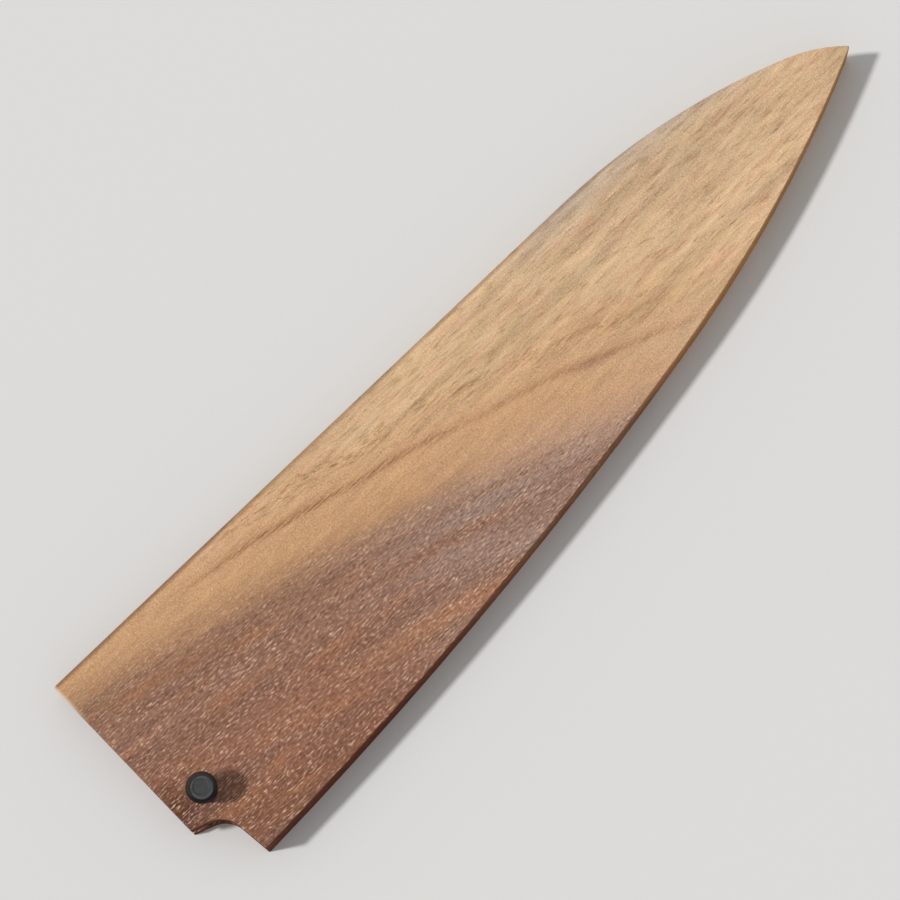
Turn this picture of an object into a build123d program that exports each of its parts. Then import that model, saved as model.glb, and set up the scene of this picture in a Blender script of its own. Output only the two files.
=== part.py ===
from build123d import *
import os

# Wooden blade guard for a chef's knife, in millimetres.
# X runs from the mouth to the tip, +Y is the spine side, +Z the face with the pin's head.
# The outline is drawn from the spine corner of the mouth and centred at the end.

# Sheath, overall
length = 230.8
width = 58.6
panel_thickness = 2.9
core_thickness = 2.6
rail_width = 4.5

# Outline: how far along the length, and how far down the width
spine_bend_shares = (0.682, 0.0)
spine_fall_shares = (0.945, 0.194)
tip_shares = (1.0, 0.336)
belly_rise_shares = (0.666, 0.735)
belly_start_angle = 1.4

# Heel notch in the mouth, up from the cutting-edge side
notch_height = 14.5
notch_ramp = 2.8
notch_depth = 9.1
lip_lean = 1.2
notch_radius = 6.0

# Rounded corners and eased edges
mouth_corner_radius = 0.5
heel_corner_radius = 0.35
tip_radius = 0.4
face_ease = 0.25
rail_lead_radius = 1.5
mouth_lead_depth = 0.6
mouth_lead_run = 1.8

# Locking pin: a turned peg, with a round head on a tapering shank
pin_from_mouth = 8.1
pin_above_notch = 4.1
pin_stand_out = 7.0
pin_head_height = 4.6
pin_head_diameter = 7.0
pin_foot_diameter = 6.2
pin_neck_diameter = 5.2
pin_end_diameter = 4.3
pin_end_recess = 0.4
pin_underside_rise = 0.6
pin_shoulder_radius = 1.3
pin_shoulder_turn = 72.0
pin_foot_radius = 0.4
pin_neck_radius = 0.8
pin_end_radius = 0.6
pin_rim_width = 0.7
pin_dish_depth = 0.2
pin_dish_slope = 0.3
pin_clearance = 0.04
hole_ease = 0.3

# How far every cut runs past the wood
overrun = 5.0

# Worked out from the sizes above
thickness = 2 * panel_thickness + core_thickness
notch_start = width - notch_height
pin_from_spine = notch_start - pin_above_notch
belly_direction = Vector(1, 0).rotate(Axis.Z, belly_start_angle)
pin_top = thickness + pin_stand_out
pin_foot_height = pin_top - pin_head_height
pin_neck_height = pin_foot_height - pin_underside_rise
pin_taper = (pin_neck_diameter - pin_end_diameter) / 2 / (pin_neck_height - pin_end_recess)


def at_shares(shares):
    """A point of the outline from its shares of the length and the width."""
    along, down = shares
    return Vector(along * length, -down * width)


def blade_profile():
    """The knife-shaped outline, cut square at the mouth."""
    mouth = Line((0, -width), (0, 0))
    spine = Line((0, 0), at_shares(spine_bend_shares))
    fall = TangentArc(spine @ 1, at_shares(spine_fall_shares), tangent=spine % 1)
    point = TangentArc(fall @ 1, at_shares(tip_shares), tangent=fall % 1)
    belly = TangentArc(mouth @ 0, at_shares(belly_rise_shares), tangent=belly_direction)
    rise = TangentArc(belly @ 1, point @ 1, tangent=belly % 1)
    return make_face([mouth, spine, fall, point, rise, belly])


def notch_cutter():
    """The piece that is missing at the heel, as a flat shape."""
    ramp_end = Vector(notch_depth - lip_lean, -notch_start - notch_ramp)
    corners = [
        (-overrun, -notch_start),
        (0, -notch_start),
        ramp_end,
        (notch_depth, -width),
        (notch_depth, -width - overrun),
        (-overrun, -width - overrun),
    ]
    shape = make_face(Polyline(*corners, close=True))
    inner_corner = shape.vertices().sort_by_distance(ramp_end)[0]
    return fillet(inner_corner, notch_radius)


def sheath_plan():
    """The sheath seen from above, with its corners rounded."""
    plan = blade_profile() - notch_cutter()
    rounded_corners = [
        (Vector(0, 0), mouth_corner_radius),
        (Vector(0, -notch_start), heel_corner_radius),
        (Vector(notch_depth, -width), heel_corner_radius),
        (at_shares(tip_shares), tip_radius),
    ]
    for corner, radius in rounded_corners:
        plan = fillet(plan.vertices().sort_by_distance(corner)[0], radius)
    return plan


def pocket_plan():
    """The room for the blade: the outline run out past the mouth, then drawn in by a rail's width."""
    run_out = rail_width + overrun
    belly_end = Vector(0, -width) - belly_direction * run_out
    extension = make_face(Polyline((0, 0), (-run_out, 0), belly_end, (0, -width), close=True))
    return offset(blade_profile() + extension, amount=-rail_width)


def pin_hole():
    """The tapered hole that the pin wedges in, with its running clearance."""
    bottom_radius = pin_radius_at(-overrun) + pin_clearance
    top_radius = pin_radius_at(thickness + overrun) + pin_clearance
    cone = Cone(bottom_radius, top_radius, thickness + 2 * overrun)
    return Pos(pin_from_mouth, -pin_from_spine, thickness / 2) * cone


def pin_radius_at(height):
    """The shank's radius at a height above the back face."""
    return pin_end_diameter / 2 + (height - pin_end_recess) * pin_taper


def mouth_lead():
    """The wedge sanded off a panel's inner mouth edge, between the rail and the notch."""
    slope = Polyline((-overrun, 0), (mouth_lead_run, 0), (-overrun, mouth_lead_rise()), close=True)
    wedge_width = notch_start - rail_width
    return Pos(0, -rail_width, 0) * extrude(Plane.XZ * make_face(slope), wedge_width)


def mouth_lead_rise():
    """How high the lead-in has risen where the wedge ends, past the mouth."""
    return mouth_lead_depth * (mouth_lead_run + overrun) / mouth_lead_run


def panel():
    """One outer slab lying on its inner face, with its outer edge eased all round."""
    slab = extrude(sheath_plan(), panel_thickness)
    slab = fillet(slab.faces().sort_by(Axis.Z)[-1].edges(), face_ease)
    return slab - mouth_lead()


def bored_panel(slab, outer_height):
    """A slab with the pin's hole, eased where the hole comes out."""
    bored = slab - pin_hole()
    centre = Vector(pin_from_mouth, -pin_from_spine, outer_height)
    rim = bored.edges().filter_by(GeomType.CIRCLE).sort_by_distance(centre)[0]
    return chamfer(rim, hole_ease)


def front_panel():
    return bored_panel(Pos(0, 0, panel_thickness + core_thickness) * panel(), thickness)


def back_panel():
    slab = Pos(0, 0, panel_thickness) * mirror(panel(), about=Plane.XY)
    return bored_panel(slab, 0)


def core_rails():
    """The two strips that hold the slabs apart, mitred where they meet at the tip."""
    pocket = pocket_plan()
    core = sheath_plan() - pocket
    tip = at_shares(tip_shares)
    pocket_tip = pocket.vertices().sort_by(Axis.X)[-1].center()
    beyond_tip = tip + (tip - pocket_tip).normalized() * overrun
    corners = [
        beyond_tip,
        pocket_tip,
        (-overrun, -notch_start / 2),
        (-overrun, overrun),
        (beyond_tip.X, overrun),
    ]
    spine_side = make_face(Polyline(*corners, close=True))
    spine_strip = core & spine_side
    edge_strip = core - spine_side
    return rail(spine_strip), rail(edge_strip)


def rail(strip):
    """A core strip between the slabs, its inner corner at the mouth rounded as a lead-in."""
    mouth_middle = Vector(0, -width / 2)
    lead_corner = strip.vertices().sort_by_distance(mouth_middle)[0]
    rounded = fillet(lead_corner, rail_lead_radius)
    return Pos(0, 0, panel_thickness) * extrude(rounded, core_thickness)


def locking_pin():
    """The peg, turned about its own axis: round end, tapering shank, and a head dished on top."""
    shoulder_turned = Vector(pin_shoulder_radius, 0).rotate(Axis.Z, pin_shoulder_turn)
    rim_radius = pin_head_diameter / 2 - pin_shoulder_radius + shoulder_turned.X
    shoulder_height = pin_top - shoulder_turned.Y
    dish_radius = rim_radius - pin_rim_width
    dish_floor = pin_top - pin_dish_depth
    end_corner = Vector(pin_end_diameter / 2, pin_end_recess)
    neck_corner = Vector(pin_neck_diameter / 2, pin_neck_height)
    foot_corner = Vector(pin_foot_diameter / 2, pin_foot_height)
    widest = Vector(pin_head_diameter / 2, shoulder_height)
    side = Polyline((0, pin_end_recess), end_corner, neck_corner, foot_corner, widest)
    shoulder_centre = (pin_head_diameter / 2 - pin_shoulder_radius, shoulder_height)
    shoulder = CenterArc(shoulder_centre, pin_shoulder_radius, 0, pin_shoulder_turn)
    head = Polyline(
        (rim_radius, pin_top),
        (dish_radius, pin_top),
        (dish_radius - pin_dish_slope, dish_floor),
        (0, dish_floor),
        (0, pin_end_recess),
    )
    section = make_face([side, shoulder, head])
    rounded_corners = [
        (end_corner, pin_end_radius),
        (neck_corner, pin_neck_radius),
        (foot_corner, pin_foot_radius),
    ]
    for corner, radius in rounded_corners:
        section = fillet(section.vertices().sort_by_distance(corner)[0], radius)
    turned = revolve(Plane.XZ * section, Axis.Z)
    return Pos(pin_from_mouth, -pin_from_spine, 0) * turned


spine_rail, edge_rail = core_rails()
pieces = {
    "front_panel": front_panel(),
    "back_panel": back_panel(),
    "spine_rail": spine_rail,
    "edge_rail": edge_rail,
    "locking_pin": locking_pin(),
}

# The origin is the middle of the outline, on the back face
outline_box = sheath_plan().bounding_box()
to_origin = Pos(-outline_box.center().X, -outline_box.center().Y, 0)

os.makedirs("parts", exist_ok=True)
for name, piece in pieces.items():
    export_step(to_origin * piece, f"parts/{name}.step")
    print(name, "volume", round(piece.volume, 1))
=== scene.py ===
import math

import bpy
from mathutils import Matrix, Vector


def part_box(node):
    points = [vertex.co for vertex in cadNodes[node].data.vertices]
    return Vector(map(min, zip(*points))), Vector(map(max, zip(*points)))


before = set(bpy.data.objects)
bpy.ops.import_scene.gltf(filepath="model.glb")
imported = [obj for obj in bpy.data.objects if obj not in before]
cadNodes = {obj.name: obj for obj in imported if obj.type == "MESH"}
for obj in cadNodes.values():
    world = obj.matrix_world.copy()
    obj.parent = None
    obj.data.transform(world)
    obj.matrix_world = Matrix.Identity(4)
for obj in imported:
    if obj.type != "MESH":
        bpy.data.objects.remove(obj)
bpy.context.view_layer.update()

sheathLow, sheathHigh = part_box("front_panel")
pinLow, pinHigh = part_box("locking_pin")
mm = 0.001
print("frame loaded:", ", ".join(sorted(cadNodes)))


# Camera, from where the photograph was taken

photoCamera = {
    "place": (-0.109285, -0.126115, 0.64004),
    "turn": (14.165, 2.348, -44.397),  # degrees
    "lens": 117.28,  # mm
    "nearest": 0.01,
}


def addCamera(settings):
    turn = [math.radians(angle) for angle in settings["turn"]]
    bpy.ops.object.camera_add(location=settings["place"], rotation=turn)
    camera = bpy.context.object
    camera.name = "photoCamera"
    camera.data.lens = settings["lens"]
    camera.data.clip_start = settings["nearest"]
    bpy.context.scene.camera = camera


# Shader maths: sums and products of sockets are written as they are read

class Signal:
    def __init__(self, finish, socket):
        self.finish = finish
        self.socket = socket

    def maths(self, operation, *values):
        return self.finish.node("ShaderNodeMath", {"operation": operation}, dict(enumerate(values)))

    def output(self, name):
        return Signal(self.finish, self.socket.node.outputs[name])

    def __add__(self, other):
        return self.maths("ADD", self, other)

    def __radd__(self, other):
        return self.maths("ADD", other, self)

    def __sub__(self, other):
        return self.maths("SUBTRACT", self, other)

    def __rsub__(self, other):
        return self.maths("SUBTRACT", other, self)

    def __mul__(self, other):
        return self.maths("MULTIPLY", self, other)

    def __rmul__(self, other):
        return self.maths("MULTIPLY", other, self)

    def __abs__(self):
        return self.maths("ABSOLUTE", self)


# A screen colour, 0 to 255, as the shader wants it
def screenColour(red, green, blue):
    linear = []
    for channel in (red, green, blue):
        share = channel / 255
        linear.append(share / 12.92 if share <= 0.04045 else ((share + 0.055) / 1.055) ** 2.4)
    return (*linear, 1.0)


class Finish:
    def __init__(self, name):
        self.material = bpy.data.materials.new(name)
        self.material.use_nodes = True
        self.tree = self.material.node_tree
        self.tree.nodes.clear()

    def node(self, kind, settings=None, sockets=None, output=0):
        made = self.tree.nodes.new(kind)
        for name, value in (settings or {}).items():
            if name == "stops":
                self.setStops(made.color_ramp, value)
            else:
                setattr(made, name, value)
        for name, value in (sockets or {}).items():
            if isinstance(value, Signal):
                self.tree.links.new(value.socket, made.inputs[name])
            else:
                made.inputs[name].default_value = value
        return Signal(self, made.outputs[output]) if made.outputs else None

    def setStops(self, ramp, stops):
        while len(ramp.elements) < len(stops):
            ramp.elements.new(1.0)
        for element, (position, colour) in zip(ramp.elements, stops):
            element.position = position
            element.color = colour

    # from 0 at low to 1 at high, eased at both ends; high may be the smaller
    def rise(self, value, low, high):
        settings = {"interpolation_type": "SMOOTHSTEP"}
        return self.node("ShaderNodeMapRange", settings, {"Value": value, "From Min": low, "From Max": high})

    # 1 at the centre, 0 from the reach outwards
    def hill(self, value, centre, reach):
        return self.rise(abs(value - centre), reach, 0.0)

    # the mask, never less than its least
    def atLeast(self, mask, least):
        return mask * (1.0 - least) + least

    def vector(self, x, y, z):
        return self.node("ShaderNodeCombineXYZ", None, {0: x, 1: y, 2: z})

    def noise(self, vector, detail=2.0, roughness=0.5):
        sockets = {"Vector": vector, "Scale": 1.0, "Detail": detail, "Roughness": roughness}
        return self.node("ShaderNodeTexNoise", None, sockets)

    def mix(self, factor, first, second, blend="MIX"):
        settings = {"data_type": "RGBA", "blend_type": blend}
        return self.node("ShaderNodeMix", settings, {0: factor, 6: first, 7: second}, output=2)

    # a colour made lighter or darker by a factor, or a place made longer
    def scaled(self, vector, factor):
        return self.node("ShaderNodeVectorMath", {"operation": "SCALE"}, {0: vector, "Scale": factor})

    def bump(self, height, depth):
        return self.node("ShaderNodeBump", None, {"Height": height, "Distance": depth, "Strength": 1.0})

    def surface(self, sockets):
        shader = self.node("ShaderNodeBsdfPrincipled", None, sockets)
        self.node("ShaderNodeOutputMaterial", None, {"Surface": shader})
        return self.material


# Wood: one board's figure, in millimetres. Places along are counted from the mouth, and places
# across from the growth line, the spine or the spine corner.
# A grain layer is noise drawn out to a length and a width. It shows from one level to another.
# A patch has its middle and reach across, and where it comes in or goes out along the board.

boardFigure = {
    "growthLine": (1.3, -0.117, -0.00089),  # its start, slope and bend across the face
    "depthLean": 0.7,  # how the rings lean through the thickness
    "waver": {"length": 30, "width": 12, "detail": 1},
    "fibreWaver": 1.5,
    "ringWaver": 2.4,
    "feather": {"length": 12, "width": 1.3, "detail": 3, "roughness": 0.6},
    "featherReach": 5.0,
    "heartSpread": 0.05,  # how the heartwood draws away from the growth line towards the tip
    "spreadFrom": 55,
    "mouthLift": 1.8,  # how much nearer to it the heartwood is beside the mouth
    "mouthLiftAlong": (30, -5),
    "heartEdge": (-8, -15),
    "sapEdge": (1, 8),
    "tipBend": 157.4,  # where the spine starts to fall; its stains fall about half as steeply
    "tipCurve": 644,
    # the distance from the growth line, with the colour there
    "bands": [
        (-54, (130, 86, 62)),
        (-44, (141, 97, 76)),
        (-38, (147, 101, 77)),
        (-31, (136, 96, 76)),
        (-26, (149, 108, 87)),
        (-20, (144, 105, 83)),
        (-15, (149, 110, 85)),
        (-10, (176, 134, 99)),
        (-6, (197, 153, 110)),
        (0, (204, 160, 118)),
        (6, (208, 166, 124)),
        (12, (212, 175, 134)),
        (20, (213, 178, 138)),
        (28, (217, 183, 144)),
    ],
    # heartwood
    "mauve": {
        "length": 38, "width": 5, "detail": 3, "shows": (0.32, 0.62), "least": 0.2,
        "colour": (158, 132, 119), "most": 0.9,
    },
    "mauveAlong": (45, 100),
    "pink": {"across": (-9, 9), "along": [(80, 125)], "colour": (198, 160, 134), "most": 0.55},
    "glow": {"across": (-37.5, 5), "blur": 5, "around": (72, 45), "colour": (172, 122, 90), "most": 0.6},
    "heelShade": {"across": (-39, 12), "blur": 8, "along": [(10, 1)], "colour": (84, 42, 26), "most": 0.95},
    "rust": {
        "length": 30, "width": 3.5, "detail": 4, "roughness": 0.6, "shows": (0.5, 0.66),
        "colour": (162, 108, 74), "most": 0.6,
    },
    "wine": {"shows": (0.5, 0.34), "colour": (122, 86, 74), "most": 0.45},
    "rustAlong": (110, 30),
    "rustLeast": 0.15,
    "fleck": {
        "length": 2.3, "width": 0.24, "detail": 2, "shows": (0.54, 0.74),
        "colour": (214, 176, 150), "most": 1.0,
    },
    "gap": {"length": 1.0, "width": 0.45, "detail": 2},
    "gapShare": 0.8,
    "darkBetween": {"shows": (0.46, 0.28), "colour": (84, 54, 40), "most": 0.6},
    "crowd": {"length": 11, "width": 4, "detail": 2, "shows": (0.35, 0.65), "least": 0.5},
    "bare": {"across": (-15.5, 5)},
    "fleckShare": {"heart": 0.5, "heartAndTan": 0.6, "bare": 0.4},
    # sapwood
    "blush": {
        "length": 14, "width": 3, "detail": 4, "roughness": 0.6, "shows": (0.5, 0.66),
        "colour": (208, 160, 126), "most": 0.6,
    },
    "straw": {"shows": (0.5, 0.34), "colour": (212, 176, 130), "most": 0.45},
    "wash": {"across": (-3, 11), "along": [(125, 160)], "colour": (208, 176, 142), "most": 0.55},
    "ochre": {"across": (9, 9), "blur": 5, "around": (145, 29), "colour": (188, 144, 104), "most": 0.5},
    "greySpine": {"colour": (188, 170, 152), "most": 0.8},
    "greySpineEdge": (-8, -1),
    "greySpineAlong": (128, 160),
    "streak": {
        "length": 4.5, "width": 0.5, "detail": 3, "roughness": 0.65, "shows": (0.5, 0.72),
        "colour": (146, 108, 68), "most": 0.65,
    },
    "smudge": {
        "length": 9, "width": 1.3, "detail": 4, "roughness": 0.65, "shows": (0.5, 0.7),
        "colour": (156, 116, 78), "most": 0.55,
    },
    "cream": {
        "length": 16, "width": 1.4, "detail": 3, "shows": (0.5, 0.68),
        "colour": (228, 198, 160), "most": 0.4,
    },
    "crowdedRings": {"shows": (0.4, 0.62), "least": 0.35},
    "tanStreaks": 0.25,
    "busy": {"across": (6.5, 6.5), "along": [(60, 90), (160, 135)]},
    "busyLift": 0.04,
    "row": {
        "length": 3.2, "width": 0.34, "detail": 3, "roughness": 0.6, "shows": (0.51, 0.62),
        "across": (6, 5.5), "along": [(30, 60), (165, 140)], "colour": (142, 98, 60), "most": 0.75,
    },
    "rowRings": {"shows": (0.44, 0.58)},
    "rowRipple": 1.5,
    # growth line
    "growth": {
        "length": 6, "width": 0.36, "detail": 3, "roughness": 0.6, "shows": (0.44, 0.58), "least": 0.1,
        "across": (0, 1.3), "blur": 1.2, "along": [(28, 55), (165, 150)],
        "colour": (128, 84, 48), "most": 0.8,
    },
    "growthFades": (115, 80),
    "growthLeast": 0.45,
    "growthShade": {
        "across": (0.4, 2.6), "blur": 2, "along": [(20, 55), (170, 150)],
        "colour": (178, 130, 90), "most": 0.36,
    },
    "plum": {"across": (-0.2, 2.4), "blur": 3, "around": (135, 11), "colour": (156, 112, 88), "most": 0.6},
    # light and dark all over
    "broad": {"length": 40, "width": 3.2, "detail": 2},
    "mottle": {"length": 7, "width": 1.6, "detail": 3, "roughness": 0.6},
    "rings": {"length": 45, "width": 1.7, "detail": 3, "roughness": 0.6},
    "fine": {"length": 0.5, "width": 0.26, "detail": 2},
    "toneShare": {
        "broad": 0.25, "broadInSap": 0.4, "rings": 0.6, "mottle": 0.45,
        "fine": 1.3, "fineLessInHeart": 0.1, "fineLessInSap": 0.3, "dusk": 0.1,
    },
    "dusk": {"across": (-10, 10), "along": [(105, 145)]},
    # walls and edges
    "wallFacing": (0.75, 0.3),  # a face that looks up or down less than this is a wall
    "shadedFacing": (0.3, -0.3),
    "sunnyLeast": 0.35,
    # wall colours: the wood's darker edges, and painted shade on walls turned from the key light
    "wallStainAndShade": {"colour": (220, 190, 150), "most": 1.0},
    "heartWallStainAndShade": {"colour": (190, 150, 112), "most": 1.0},
    "heartWallAlong": (130, 40),
    "edgeStain": {"colour": (190, 180, 174), "most": 1.0},
    "edgeFrom": (-1.5, -0.3),
    "edgeAlong": (90, 60),
    "edgeLeast": 0.65,
    # painted highlight on the eased edge at the mouth's spine corner
    "paleEdgeHighlight": {"colour": (226, 196, 166), "most": 0.7},
    "paleAlong": (0.95, 0.15),
    "paleDown": (-12, -3),
    "paleDepth": (-1, -0.2),
    # surface
    "roughness": 0.5,
    "fineRoughness": 0.2,
    "wallRoughness": 0.35,
    "gloss": 0.2,
    "poreDepth": 0.06,
    "poreShare": {"fine": 0.5, "streak": 0.6},
}


class Board(Finish):
    def __init__(self, name, figure, shift):
        super().__init__(name)
        self.figure = figure
        place = self.scaled(self.node("ShaderNodeTexCoord", output="Object"), 1 / mm)
        x = self.node("ShaderNodeSeparateXYZ", None, {0: place})
        self.along = x - (sheathLow.x / mm + shift[0])
        self.down = x.output(1) - (sheathHigh.y / mm + shift[1])
        self.depth = x.output(2) - sheathHigh.z / mm
        start, slope, bend = figure["growthLine"]
        waver = self.swing("waver", self.down)
        ring = self.down - start - self.along * (slope + self.along * bend) + self.depth * figure["depthLean"]
        self.fibre = self.down + waver * figure["fibreWaver"]
        self.ring = ring + waver * figure["ringWaver"]
        self.feather = self.swing("feather", self.fibre)
        feathered = self.ring + self.feather * figure["featherReach"]
        spread = (self.along - figure["spreadFrom"]) * figure["heartSpread"]
        lift = self.reach(*figure["mouthLiftAlong"]) * figure["mouthLift"]
        self.banded = feathered + spread - lift
        self.heart = self.rise(self.banded, *figure["heartEdge"])
        self.pale = self.rise(feathered, *figure["sapEdge"])
        past = self.along - figure["tipBend"]
        past = past.maths("MAXIMUM", past, 0.0)
        self.spine = self.down + past * past * (1 / figure["tipCurve"])

    # the layer's noise, drawn out along the length and laid on the fibres or the rings
    def grain(self, name, across):
        layer = self.figure[name]
        width = 1 / layer["width"]
        place = self.vector(self.along * (1 / layer["length"]), across * width, self.depth * width)
        return self.noise(place, layer["detail"], layer.get("roughness", 0.5))

    # the same about zero
    def swing(self, name, across):
        return self.grain(name, across) - 0.5

    def shown(self, name, grain):
        layer = self.figure[name]
        mask = self.rise(grain, *layer["shows"])
        return self.atLeast(mask, layer["least"]) if "least" in layer else mask

    # where a patch lies, its edge across the board blurred by the feather
    def patch(self, name, across):
        layer = self.figure[name]
        if "blur" in layer:
            across = across + self.feather * layer["blur"]
        mask = self.hill(across, *layer["across"])
        for low, high in layer.get("along", []):
            mask = mask * self.reach(low, high)
        if "around" in layer:
            mask = mask * self.hill(self.along, *layer["around"])
        return mask

    # the colour with a layer's stain over it, as strong as the mask
    def stain(self, colour, name, mask, blend="MIX"):
        layer = self.figure[name]
        return self.mix(mask * layer["most"], colour, screenColour(*layer["colour"]), blend)

    def reach(self, low, high):
        return self.rise(self.along, low, high)


def layBands(wood):
    bands = wood.figure["bands"]
    lowest = bands[0][0]
    spread = bands[-1][0] - lowest
    stops = [((at - lowest) / spread, screenColour(*colour)) for at, colour in bands]
    return wood.node("ShaderNodeValToRGB", {"stops": stops}, {0: (wood.banded - lowest) * (1 / spread)})


# mauve, rusty and wine-brown bands in the heartwood, which turns pink where it gives way to sapwood
def stainHeartwood(wood, colour):
    figure = wood.figure
    mauve = wood.shown("mauve", wood.grain("mauve", wood.ring)) * wood.heart
    colour = wood.stain(colour, "mauve", mauve * wood.reach(*figure["mauveAlong"]))
    colour = wood.stain(colour, "pink", wood.patch("pink", wood.banded))
    colour = wood.stain(colour, "glow", wood.patch("glow", wood.ring))
    colour = wood.stain(colour, "heelShade", wood.patch("heelShade", wood.down))
    mottle = wood.grain("rust", wood.ring)
    rustZone = wood.heart * wood.atLeast(wood.reach(*figure["rustAlong"]), figure["rustLeast"])
    colour = wood.stain(colour, "rust", wood.shown("rust", mottle) * rustZone)
    return wood.stain(colour, "wine", wood.shown("wine", mottle) * rustZone)


# pinkish and straw-coloured patches in the sapwood, greyer and paler along the spine towards the tip
def stainSapwood(wood, colour):
    figure = wood.figure
    mottle = wood.grain("blush", wood.fibre)
    colour = wood.stain(colour, "blush", wood.shown("blush", mottle) * wood.pale)
    colour = wood.stain(colour, "straw", wood.shown("straw", mottle) * wood.pale)
    colour = wood.stain(colour, "wash", wood.patch("wash", wood.ring))
    colour = wood.stain(colour, "ochre", wood.patch("ochre", wood.ring))
    # the face turns greyer and paler within a few mm of the spine towards the tip
    greySpine = wood.rise(wood.spine, *figure["greySpineEdge"]) * wood.reach(*figure["greySpineAlong"])
    return wood.stain(colour, "greySpine", greySpine)


# the growth line between heart and sap: short dark dashes along the fibres, in a softer shade
def drawGrowthLine(wood, colour):
    figure = wood.figure
    colour = wood.stain(colour, "growthShade", wood.patch("growthShade", wood.ring))
    dashes = wood.shown("growth", wood.grain("growth", wood.fibre))
    strength = wood.atLeast(wood.reach(*figure["growthFades"]), figure["growthLeast"])
    colour = wood.stain(colour, "growth", wood.patch("growth", wood.ring) * strength * dashes)
    return wood.stain(colour, "plum", wood.patch("plum", wood.ring))


# dark streaks in the sapwood, thicker along some rings, creamy ones between them,
# and rows of short dashes beside the growth line
def streakSapwood(wood, colour, rings, streaks):
    figure = wood.figure
    busy = wood.patch("busy", wood.ring)
    streaks = streaks + busy * figure["busyLift"]
    crowded = busy.maths("MAXIMUM", wood.shown("crowdedRings", rings), busy)
    rows = wood.patch("row", wood.ring) * wood.shown("rowRings", rings)
    dashes = wood.shown("row", wood.grain("row", wood.ring + wood.feather * figure["rowRipple"]))
    colour = wood.stain(colour, "row", rows * dashes)
    tan = (1.0 - wood.pale) * (1.0 - wood.heart)
    zone = crowded * wood.pale + tan * figure["tanStreaks"]
    smudges = wood.shown("smudge", wood.grain("smudge", wood.fibre))
    colour = wood.stain(colour, "smudge", smudges * zone)
    creamy = wood.shown("cream", wood.grain("cream", wood.fibre))
    colour = wood.stain(colour, "cream", creamy * wood.pale)
    return wood.stain(colour, "streak", wood.shown("streak", streaks) * zone)


# short pale flecks in the heartwood with darker marks between them, fading out into the sapwood
def fleckHeartwood(wood, colour, flecks):
    share = wood.figure["fleckShare"]
    crowded = wood.shown("crowd", wood.grain("crowd", wood.fibre))
    zone = wood.heart * share["heart"] + (1.0 - wood.pale) * share["heartAndTan"]
    zone = zone - wood.patch("bare", wood.banded) * share["bare"]
    colour = wood.stain(colour, "fleck", wood.shown("fleck", flecks) * zone * crowded)
    # darker where the fleck noise is low, in the heartwood
    return wood.stain(colour, "darkBetween", wood.shown("darkBetween", flecks) * wood.heart)


# walls darker, as stain and as painted shade, most of all on the cutting-edge side, which faces away
# from the key light; a darker spine edge; and a painted highlight on the eased edge at the mouth's spine
# corner
def stainEdges(wood, colour):
    figure = wood.figure
    facing = wood.node("ShaderNodeNewGeometry", output="Normal")
    facing = wood.node("ShaderNodeSeparateXYZ", None, {0: facing})
    wall = wood.rise(abs(facing.output(2)), *figure["wallFacing"])
    # painted shade: walls facing away from the key light, on the cutting-edge side, are darkened most, those
    # facing it least
    shaded = wood.rise(facing.output(1), *figure["shadedFacing"])
    stainedAndShaded = wall * wood.atLeast(shaded, figure["sunnyLeast"])
    colour = wood.stain(colour, "wallStainAndShade", stainedAndShaded, "MULTIPLY")
    # heartwood walls darker still, as stain and as painted shade
    heartWall = stainedAndShaded * wood.heart * wood.reach(*figure["heartWallAlong"])
    colour = wood.stain(colour, "heartWallStainAndShade", heartWall, "MULTIPLY")
    edge = wood.rise(wood.spine, *figure["edgeFrom"])
    edge = edge * wood.atLeast(wood.reach(*figure["edgeAlong"]), figure["edgeLeast"])
    colour = wood.stain(colour, "edgeStain", edge, "MULTIPLY")
    # painted highlight: the eased edge at the mouth's spine corner is lighter, where the key light catches it
    highlightCorner = wood.rise(wood.down, *figure["paleDown"]) * wood.rise(wood.depth, *figure["paleDepth"])
    return wood.stain(colour, "paleEdgeHighlight", highlightCorner * wood.reach(*figure["paleAlong"])), wall


def woodFinish(name, figure, shift, shade):
    wood = Board(name, figure, shift)
    rings = wood.grain("rings", wood.ring)
    streaks = wood.grain("streak", wood.fibre)
    flecks = wood.grain("fleck", wood.fibre) + wood.swing("gap", wood.fibre) * figure["gapShare"]
    fine = wood.swing("fine", wood.fibre)

    colour = layBands(wood)
    colour = stainHeartwood(wood, colour)
    colour = stainSapwood(wood, colour)
    colour = drawGrowthLine(wood, colour)
    colour = streakSapwood(wood, colour, rings, streaks)
    colour = fleckHeartwood(wood, colour, flecks)

    share = figure["toneShare"]
    tone = wood.swing("broad", wood.fibre) * (wood.pale * share["broadInSap"] + share["broad"])
    tone = tone + (rings - 0.5) * wood.heart * share["rings"]
    tone = tone + wood.swing("mottle", wood.fibre) * share["mottle"]
    fineShare = share["fine"] - wood.heart * share["fineLessInHeart"] - wood.pale * share["fineLessInSap"]
    tone = tone + fine * fineShare - wood.patch("dusk", wood.spine) * share["dusk"] + 1.0
    colour = wood.scaled(colour, tone * shade)
    colour, wall = stainEdges(wood, colour)

    share = figure["poreShare"]
    height = fine * share["fine"] - wood.shown("streak", streaks) * share["streak"] - flecks * wood.heart
    roughness = fine * figure["fineRoughness"] + wall * figure["wallRoughness"] + figure["roughness"]
    sockets = {
        "Base Color": colour,
        "Roughness": roughness,
        "Normal": wood.bump(height, figure["poreDepth"] * mm),
        "Specular IOR Level": figure["gloss"],
    }
    return wood.surface(sockets)


# Pin: turned and blackened, with its flat end worn grey, a painted highlight round its rim and painted light
# on one side of its shoulder

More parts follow.
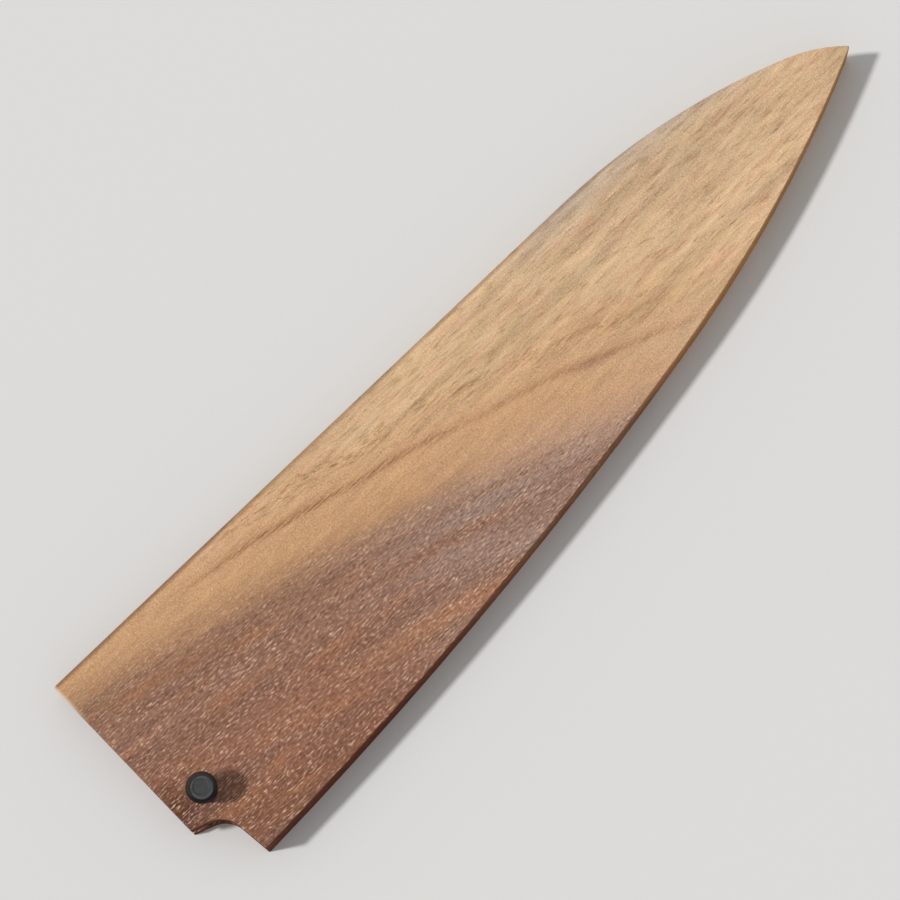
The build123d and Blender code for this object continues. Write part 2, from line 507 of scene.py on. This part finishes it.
pinLook = {
    "black": (14, 12, 11),
    "shoulderLit": (52, 46, 42),
    "litSlant": 0.7,  # painted light: the shoulder is lighter on its tip and spine side
    "litAcross": (-2.2, 2.6),  # all lengths in mm
    "litBelow": (-2.2, -1.2),
    # painted highlight round the rim of the flat end
    "rimHighlight": (77, 79, 82),
    "rimDull": (63, 67, 66),
    "dullShows": (0.42, 0.6),
    "dishColour": (63, 66, 65),
    "dishBrown": (69, 63, 61),
    "brownShows": (0.48, 0.36),
    "dishGreen": (56, 68, 63),
    "greenShows": (0.5, 0.64),
    "wornAside": (0.02, -0.3),  # how far the worn end lies off the pin's axis
    "endRadius": (2.58, 2.42),
    "endBelow": (-0.6, -0.35),
    "dishRadius": (2.25, 1.75),
    "cloudScale": 0.7,
    "cloudDetail": 2,
    "grainDetail": 4,
    "grainRoughness": 0.6,
    "turnings": 0.16,  # from one turned line to the next
    "turnedDetail": 2,
    "toneShare": {"grain": 0.7, "turned": 0.3},
    "roughness": 0.5,
    "roughnessShare": 0.3,
    "gloss": 0.14,
    "turnedShare": 0.6,
    "lineDepth": 0.03,
}


def pinFinish(look):
    peg = Finish("pinBlack")
    shades = {}
    for name in ("black", "shoulderLit", "rimHighlight", "rimDull", "dishColour", "dishBrown", "dishGreen"):
        shades[name] = screenColour(*look[name])
    place = peg.node("ShaderNodeTexCoord", output="Object")
    axis = (pinLow + pinHigh) / 2
    aside = [side * mm for side in look["wornAside"]]
    centre = (-axis.x - aside[0], -axis.y - aside[1], -pinHigh.z)
    centred = peg.node("ShaderNodeMapping", None, {"Vector": place, "Location": centre})
    centred = peg.scaled(centred, 1 / mm)
    x = peg.node("ShaderNodeSeparateXYZ", None, {0: centred})
    y = x.output(1)
    below = x.output(2)
    flat = peg.vector(x, y, 0.0)
    radius = peg.node("ShaderNodeVectorMath", {"operation": "LENGTH"}, {0: flat}, output="Value")
    grain = peg.noise(centred, look["grainDetail"], look["grainRoughness"])
    cloud = peg.noise(peg.scaled(centred, look["cloudScale"]), look["cloudDetail"])
    lines = 1 / look["turnings"]
    turned = peg.noise(peg.vector(radius * lines, below * lines, 0.0), look["turnedDetail"])

    dish = peg.mix(peg.rise(cloud, *look["brownShows"]), shades["dishColour"], shades["dishBrown"])
    dish = peg.mix(peg.rise(cloud, *look["greenShows"]), dish, shades["dishGreen"])
    # painted highlight: a lighter ring round the rim of the flat end, dulled in patches
    litRim = peg.mix(peg.rise(cloud, *look["dullShows"]), shades["rimHighlight"], shades["rimDull"])
    end = peg.mix(peg.rise(radius, *look["dishRadius"]), litRim, dish)
    # painted light: the upper shoulder is lighter on its tip and spine side, black elsewhere
    litShoulder = peg.rise((x + y) * look["litSlant"], *look["litAcross"])
    litShoulder = litShoulder * peg.rise(below, *look["litBelow"])
    side = peg.mix(litShoulder, shades["black"], shades["shoulderLit"])
    onEnd = peg.rise(radius, *look["endRadius"]) * peg.rise(below, *look["endBelow"])
    colour = peg.mix(onEnd, side, end)
    share = look["toneShare"]
    tone = (grain - 0.5) * share["grain"] + (turned - 0.5) * share["turned"] + 1.0
    colour = peg.scaled(colour, tone)
    sockets = {
        "Base Color": colour,
        "Roughness": (grain - 0.5) * look["roughnessShare"] + look["roughness"],
        "Normal": peg.bump(grain + turned * look["turnedShare"], look["lineDepth"] * mm),
        "Specular IOR Level": look["gloss"],
    }
    return peg.surface(sockets)


def setMaterial(node, material):
    mesh = cadNodes[node].data
    if not mesh.materials:
        mesh.materials.append(material)
    for index in range(len(mesh.materials)):
        mesh.materials[index] = material


# Where each board lies in the figure, shifted along and across in mm, and how light it is
boardCuts = {
    "frontWood": {"nodes": ["front_panel"], "shift": (0.0, 0.0), "shade": 1.0},
    "backWood": {"nodes": ["back_panel"], "shift": (4.0, -0.4), "shade": 1.0},
    "railWood": {"nodes": ["spine_rail", "edge_rail"], "shift": (-2.0, 0.6), "shade": 0.88},
}


def dressSheath():
    for name, cut in boardCuts.items():
        material = woodFinish(name, boardFigure, cut["shift"], cut["shade"])
        for node in cut["nodes"]:
            setMaterial(node, material)
    setMaterial("locking_pin", pinFinish(pinLook))


# Studio: a pale floor, one soft key light and an even fill

studio = {
    "floorWidth": 8.0,
    "floorDrop": 0.02,  # mm
    "floorColour": (222, 221, 219),
    "floorRoughness": 0.9,
    "floorGloss": 0.0,
    "keyFrom": (-0.795, 0.525, 1.0),
    "keyStrength": 2.3,
    "keyAngle": 6.5,  # degrees across
    "fill": 0.45,
    "backdrop": 1.0,
}


def addFloor(settings):
    drop = -settings["floorDrop"] * mm
    bpy.ops.mesh.primitive_plane_add(size=settings["floorWidth"], location=(0.0, 0.0, drop))
    floor = bpy.context.object
    floor.name = "floor"
    sockets = {
        "Base Color": screenColour(*settings["floorColour"]),
        "Roughness": settings["floorRoughness"],
        "Specular IOR Level": settings["floorGloss"],
    }
    floor.data.materials.append(Finish("floorPaint").surface(sockets))


def addKeyLight(settings):
    bpy.ops.object.light_add(type="SUN")
    key = bpy.context.object
    key.name = "keyLight"
    key.rotation_euler = Vector(settings["keyFrom"]).to_track_quat("Z", "Y").to_euler()
    key.data.energy = settings["keyStrength"]
    key.data.angle = math.radians(settings["keyAngle"])


# The world fills the shadows with white, and is as pale as the floor where it is seen
def addWorld(settings):
    world = bpy.data.worlds.new("studioWorld")
    bpy.context.scene.world = world
    world.use_nodes = True
    tree = world.node_tree
    tree.nodes.clear()
    rays = tree.nodes.new("ShaderNodeLightPath")
    seen = rays.outputs["Is Camera Ray"]
    for kind in ("Is Glossy Ray", "Is Transmission Ray"):
        either = tree.nodes.new("ShaderNodeMath")
        either.operation = "MAXIMUM"
        tree.links.new(seen, either.inputs[0])
        tree.links.new(rays.outputs[kind], either.inputs[1])
        seen = either.outputs[0]
    mixed = tree.nodes.new("ShaderNodeMixShader")
    tree.links.new(seen, mixed.inputs[0])
    white = (1.0, 1.0, 1.0, 1.0)
    looks = [(white, settings["fill"]), (screenColour(*settings["floorColour"]), settings["backdrop"])]
    for place, (colour, strength) in enumerate(looks, start=1):
        background = tree.nodes.new("ShaderNodeBackground")
        background.inputs["Color"].default_value = colour
        background.inputs["Strength"].default_value = strength
        tree.links.new(background.outputs[0], mixed.inputs[place])
    out = tree.nodes.new("ShaderNodeOutputWorld")
    tree.links.new(mixed.outputs[0], out.inputs["Surface"])


addCamera(photoCamera)
dressSheath()
print("wood and pin finished")
addFloor(studio)
addKeyLight(studio)
addWorld(studio)
bpy.context.scene.view_settings.view_transform = "Standard"
print("studio lit")
